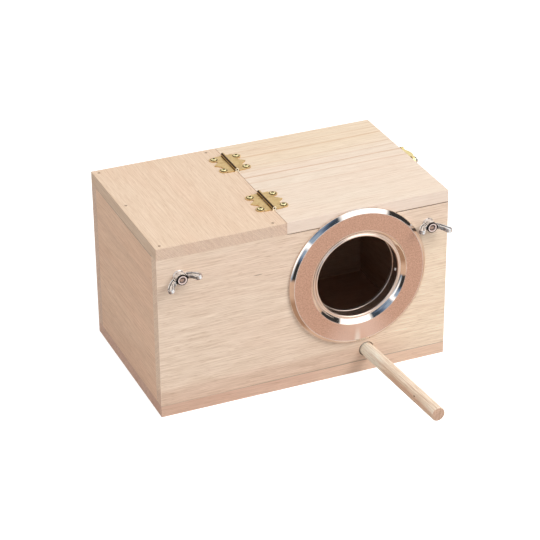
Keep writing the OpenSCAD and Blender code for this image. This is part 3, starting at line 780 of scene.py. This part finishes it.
def bolt_shadow(spot, facing):
    """The lower half of the bolt's end face, painted lighter; the painted shadow of the bore stays
    on the upper half.
    """
    return hub_face(spot, bolt_end_r) * (1 - (spot.along(up) - bolt_height).rise(0.0002, 0.0014))


hub_rim_r, hub_face_r, bore_shadow_r, bolt_end_r = 0.0053, 0.0036, 0.0026, 0.0021
wing_tip_reach = (0.0124, 0.0145)
plate = metal(
    "zinc_plate", shade(255, 255, 255), 0.16, 0.5, cast_bump, 0.0012, dull=shade(150, 146, 148),
    metallic=0.6, layers=(
        # Painted highlights on the casting's crests.
        (lambda spot, facing: cavity(spot, -0.25, -0.7), shade(255, 255, 255)),
        # Painted shade under the wings.
        (lambda spot, facing: facing.along(under).rise(-0.05, 0.45) * 0.85, shade(44, 40, 42)),
        # A painted brown reflection of the wood on the wing tips.
        (lambda spot, facing: from_bolt(spot).rise(*wing_tip_reach) * 0.55, shade(168, 128, 104)),
        (lambda spot, facing: cloudy(spot) * 0.8, shade(104, 98, 100)),
        (rounded_over, shade(34, 30, 32)),
        # Painted shade in the casting's hollows.
        (lambda spot, facing: cavity(spot, 0.08, 0.42), shade(28, 25, 27)),
        # A black ring round the hub's face: a painted dark reflection.
        (lambda spot, facing: hub_face(spot, hub_rim_r), shade(14, 12, 14)),
        (lambda spot, facing: hub_face(spot, hub_face_r), shade(244, 220, 212)),
        (lambda spot, facing: hub_face(spot, bore_shadow_r), shade(58, 46, 44)),
        (bolt_shadow, shade(176, 146, 130)),
    ))

web_area, web_rim, web_fillet, web_depth = 0.00003, 0.0009, 0.0004, -0.0006
casting_grain, casting_softness, bore_r, drill_length = 0.0002, 7, 0.0026, 0.04


def cast_nut(side, foot):
    """A wing nut with a hollow in each side of its wings, as soft as a casting, and its bore."""
    nut = merged_copy(f"{side}_wing_nut", "casting")
    pick(nut, faces=lambda face: face.area > web_area and abs(face.normal.y) < 0.1)
    bpy.ops.mesh.inset(thickness=web_rim, depth=0)
    bpy.ops.mesh.inset(thickness=web_fillet, depth=web_depth)
    bpy.ops.object.mode_set(mode="OBJECT")
    fused = nut.modifiers.new("cast", "REMESH")
    fused.mode, fused.voxel_size = "VOXEL", casting_grain
    soft = nut.modifiers.new("soft", "SMOOTH")
    soft.factor, soft.iterations = 0.5, casting_softness
    apply_all(nut)
    bpy.ops.object.select_all(action="DESELECT")
    bpy.ops.mesh.primitive_cylinder_add(vertices=64, radius=bore_r, depth=drill_length,
                                        location=foot, rotation=(radians(90), 0, 0))
    drill = bpy.context.object
    bored = nut.modifiers.new("bored", "BOOLEAN")
    bored.object = drill
    apply_all(nut)
    bpy.data.objects.remove(drill)
    bpy.ops.object.shade_smooth_by_angle(angle=radians(40))
    mark_cavities(nut)
    stand_for(nut, f"{side}_wing_nut", plate)


thread_pitch, thread_turns, thread_steps, thread_size = 0.0008, 9, 24, 0.00044
thread_core_r, thread_crest_r, bolt_out = 0.00212, 0.00246, 0.0075
bolt_chamfer, thread_from, into_panel, bolt_steps = 0.0004, 0.0002, 0.0004, 48
thread_smooth_up_to = radians(30)


def fill_holes(piece, sides):
    picked_out(piece)
    bpy.ops.object.mode_set(mode="EDIT")
    bpy.ops.mesh.select_all(action="SELECT")
    bpy.ops.mesh.fill_holes(sides=sides)


def bolt_core(side, foot):
    """The core of the thread, from inside the panel to a chamfered end."""
    core = pulled_shell(f"{side}_bolt_core", foot, [
        (thread_core_r, -into_panel), (thread_core_r, bolt_out - bolt_chamfer),
        (thread_core_r - bolt_chamfer, bolt_out), (0.0001, bolt_out)], bolt_steps)
    fill_holes(core, 0)
    bpy.ops.object.mode_set(mode="OBJECT")
    bpy.ops.object.shade_smooth_by_angle(angle=thread_smooth_up_to)
    return core


def bolt_thread(foot):
    """The ridge of the thread: a triangle wound round the bolt's axis."""
    bpy.ops.object.select_all(action="DESELECT")
    bpy.ops.mesh.primitive_circle_add(vertices=3, radius=thread_size,
                                      rotation=(0, 0, radians(-90)))
    thread = bpy.context.object
    bpy.ops.object.mode_set(mode="EDIT")
    bpy.ops.transform.translate(value=(thread_crest_r - thread_size, 0, 0))
    bpy.ops.object.mode_set(mode="OBJECT")
    bpy.ops.object.transform_apply(location=True, rotation=True, scale=True)
    wound = thread.modifiers.new("wound", "SCREW")
    wound.axis, wound.screw_offset, wound.iterations = "Y", -thread_pitch, thread_turns
    wound.steps = wound.render_steps = thread_steps
    apply_all(thread)
    fill_holes(thread, 3)
    bpy.ops.mesh.normals_make_consistent(inside=False)
    bpy.ops.transform.translate(value=foot + Vector((0, thread_from, 0)))
    bpy.ops.object.mode_set(mode="OBJECT")
    bpy.ops.object.shade_smooth_by_angle(angle=thread_smooth_up_to)
    return thread


def threaded_bolt(side, foot):
    """A machine screw whose plain shank is cut off at the panel, and goes on with a thread."""
    head = merged_copy(f"{side}_bolt", "head")
    bpy.ops.object.mode_set(mode="EDIT")
    bpy.ops.mesh.select_all(action="SELECT")
    bpy.ops.mesh.bisect(plane_co=foot + Vector((0, thread_from, 0)), plane_no=front,
                        use_fill=True, clear_outer=True)
    bpy.ops.object.mode_set(mode="OBJECT")
    finish_edges(head, 0.00012)
    core = bolt_core(side, foot)
    thread = bolt_thread(foot)
    picked_out(core, thread, head)
    bpy.ops.object.join()
    stand_for(head, f"{side}_bolt", plate)


for side, bolt_x in (("left", -bolt_reach_x), ("right", bolt_reach_x)):
    foot = Vector((bolt_x, panel_front, bolt_height))
    cast_nut(side, foot)
    threaded_bolt(side, foot)
    worked_copy(f"{side}_washer", "pressing", 0.00015, plate)


# Catch: a flat brass hook that swings on a steel rivet, in a plate screwed to the lid's right end.
# Its notch drops over a brass stud on the side panel.
for node in ("catch_plate", "catch_stud"):
    worked_copy(node, "brass", 0.00018, brass_leaf)


# Painted shade under the rivet's head, and a painted dark reflection on its top.
def rivet_shadow(spot, facing):
    return facing.along(under).rise(0.1, 0.4).most(facing.along(up).rise(0.75, 0.9))


rivet_steel = metal("rivet_steel", shade(250, 246, 232), 0.2, 0.5, fine_bump,
                    layers=((rivet_shadow, shade(40, 32, 22)),))
worked_copy("catch_pivot", "rivet", 0.00015, rivet_steel)

hook = merged_copy("catch_hook", "strip")
arm_from, arm_to, arm_crown, arm_rows = -0.0065, 0.0106, 0.0024, 12
arm_middle_x = middle("catch_hook")[0]
row_places = [arm_from + (arm_to - arm_from) * i / arm_rows for i in range(1, arm_rows)]


def on_outer_edge(point, place):
    return abs(point.co.y - place) < 0.00001 and point.co.x > arm_middle_x


bpy.ops.object.mode_set(mode="EDIT")
for place in row_places:
    bpy.ops.mesh.select_all(action="SELECT")
    bpy.ops.mesh.bisect(plane_co=(0, place, 0), plane_no=back)
bpy.ops.object.mode_set(mode="OBJECT")
for i, place in enumerate(row_places, 1):
    pick(hook, points=lambda point: on_outer_edge(point, place))
    bpy.ops.transform.translate(value=(arm_crown * sin(radians(180 / arm_rows * i)), 0, 0))
    bpy.ops.object.mode_set(mode="OBJECT")
finish_edges(hook, 0.0005, steps=3, angle=40)
brass_strip = metal("polished_brass", shade(240, 220, 158), 0.24, 0.4, cast_bump,
                    dull=shade(200, 166, 98))
stand_for(hook, "catch_hook", brass_strip)


# Studio: a floor of pale paper in a white surround, and one broad, soft lamp that stands in front
# of the box, above it and to its right.
def white_for_camera(tree):
    """1 where the camera, a mirror or glass looks, and 0 where light falls on a surface."""
    path = tree.nodes.new("ShaderNodeLightPath")
    seen = Tone(path.outputs["Is Camera Ray"]).most(Tone(path.outputs["Is Glossy Ray"]))
    return seen.most(Tone(path.outputs["Is Transmission Ray"]))


surround = bpy.data.worlds.new("studio")
surround.use_nodes = True
bpy.context.scene.world = surround
sky = surround.node_tree.nodes["Background"]
horizon_light, overhead_light = 0.47, 0.34
aim = Tone(surround.node_tree.nodes.new("ShaderNodeTexCoord").outputs["Generated"])
falls = horizon_light + aim.along(up).most(0.0) * overhead_light
seen = white_for_camera(surround.node_tree)
surround.node_tree.links.new((falls * (1 - seen) + seen).socket, sky.inputs["Strength"])
sky.inputs["Color"].default_value = (1.0, 1.0, 1.0, 1.0)

bpy.ops.object.select_all(action="DESELECT")
bpy.ops.mesh.primitive_plane_add(size=12, location=(0, 0, cad_low.z))
floor = bpy.context.object
floor.name = "studio_floor"
paper = bpy.data.materials.new("studio_paper")
paper.use_nodes = True
paper_shader = paper.node_tree.nodes["Principled BSDF"]
paper_shader.inputs["Base Color"].default_value = (0.60, 0.60, 0.60, 1.0)
paper_shader.inputs["Roughness"].default_value = 0.9
paper_shader.inputs["Emission Color"].default_value = (1.0, 1.0, 1.0, 1.0)
glow = white_for_camera(paper.node_tree) * 0.75
paper.node_tree.links.new(glow.socket, paper_shader.inputs["Emission Strength"])
floor.data.materials.append(paper)
floor.visible_glossy = False
floor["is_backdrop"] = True

lamp_place, lamp_aim = Vector((1.25, -1.6, 2.1)), Vector((0, 0, 0.08))
bpy.ops.object.light_add(type="AREA", location=lamp_place)
lamp = bpy.context.object
lamp.name = "key_lamp"
lamp.data.shape, lamp.data.size, lamp.data.energy = "SQUARE", 1.4, 38
lamp.rotation_euler = (lamp_aim - lamp_place).to_track_quat("-Z", "Y").to_euler()
bpy.context.scene.view_settings.view_transform = "Standard"


# Mirror card: a painted sheet that only mirrors see. It stands where the ring's polished bevel
# mirrors it to the camera, and goes on below the floor, which mirrors look through.
night, slate, blue = (0.04, 0.04, 0.04), (0.05, 0.07, 0.10), (0.12, 0.19, 0.32)
haze, white, gold = (0.34, 0.46, 0.62), (1.9, 1.9, 1.9), (0.74, 0.51, 0.37)
brown, cream = (0.46, 0.28, 0.18), (0.90, 0.71, 0.57)
# A turn round the ring in degrees, and what the bevel's inner and outer part mirror there.
card_tones = (
    (36, night, night), (64, night, night), (68, white, white), (103, white, white),
    (109, slate, slate), (116, slate, blue), (122, blue, haze), (128, haze, blue),
    (136, haze, haze), (139, white, white), (144, haze, white), (148, haze, white),
    (152, blue, white), (156, night, white), (169, night, haze), (172, gold, gold),
    (183, gold, gold), (190, brown, brown), (212, brown, brown), (222, gold, gold),
    (240, gold, gold), (256, cream, cream), (285, cream, cream), (300, gold, cream),
    (320, gold, cream), (345, gold, gold), (366, gold, cream), (380, cream, cream),
    (394, gold, brown), (396, night, night),
)
# The bevel's leans in degrees, from its inner to its outer part, and the card's distance.
card_leans, card_reach = (16, 58), 1.8
card_columns, card_rows = 360, 14
bpy.ops.object.select_all(action="DESELECT")
bpy.ops.mesh.primitive_grid_add(x_subdivisions=card_columns, y_subdivisions=card_rows, size=2)
sheet = bpy.context.object
sheet.name = sheet.data.name = "mirror_card"
to_camera = (eye - ring_centre).normalized()
paint = sheet.data.color_attributes.new("paint", "FLOAT_COLOR", "POINT")
for vertex, dab in zip(sheet.data.vertices, paint.data):
    turn = card_tones[0][0] + (card_tones[-1][0] - card_tones[0][0]) * (vertex.co.x + 1) / 2
    out = (vertex.co.y + 1) / 2
    lean = radians(card_leans[0] + (card_leans[1] - card_leans[0]) * out)
    facing = Vector((sin(lean) * cos(radians(turn)), -cos(lean), sin(lean) * sin(radians(turn))))
    way = 2 * facing.dot(to_camera) * facing - to_camera
    vertex.co = ring_centre + way * card_reach
    after = next(i for i in range(1, len(card_tones)) if turn <= card_tones[i][0] + 0.001)
    here, there = card_tones[after - 1], card_tones[after]
    part = (turn - here[0]) / (there[0] - here[0])
    inner, outer = (Vector(here[i]).lerp(Vector(there[i]), part) for i in (1, 2))
    share = min(max(out * 4 - 2.4, 0), 1)
    dab.color = (*inner.lerp(outer, share), 1.0)
card_paint = bpy.data.materials.new("card_paint")
card_paint.use_nodes = True
dabs = card_paint.node_tree.nodes.new("ShaderNodeAttribute")
dabs.attribute_name = paint.name
set_finish(card_paint, Base_Color=(0.0, 0.0, 0.0, 1.0), Specular_IOR_Level=0.0,
           Emission_Color=Tone(dabs.outputs["Color"]), Emission_Strength=1.0)
sheet.data.materials.append(card_paint)
sheet.visible_camera = sheet.visible_diffuse = sheet.visible_shadow = False
sheet.visible_transmission = sheet.visible_volume_scatter = False
sheet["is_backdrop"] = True


# Sizes: the box round the CAD pieces, from before anything was dressed, and the box round what
# stands now.
low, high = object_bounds()
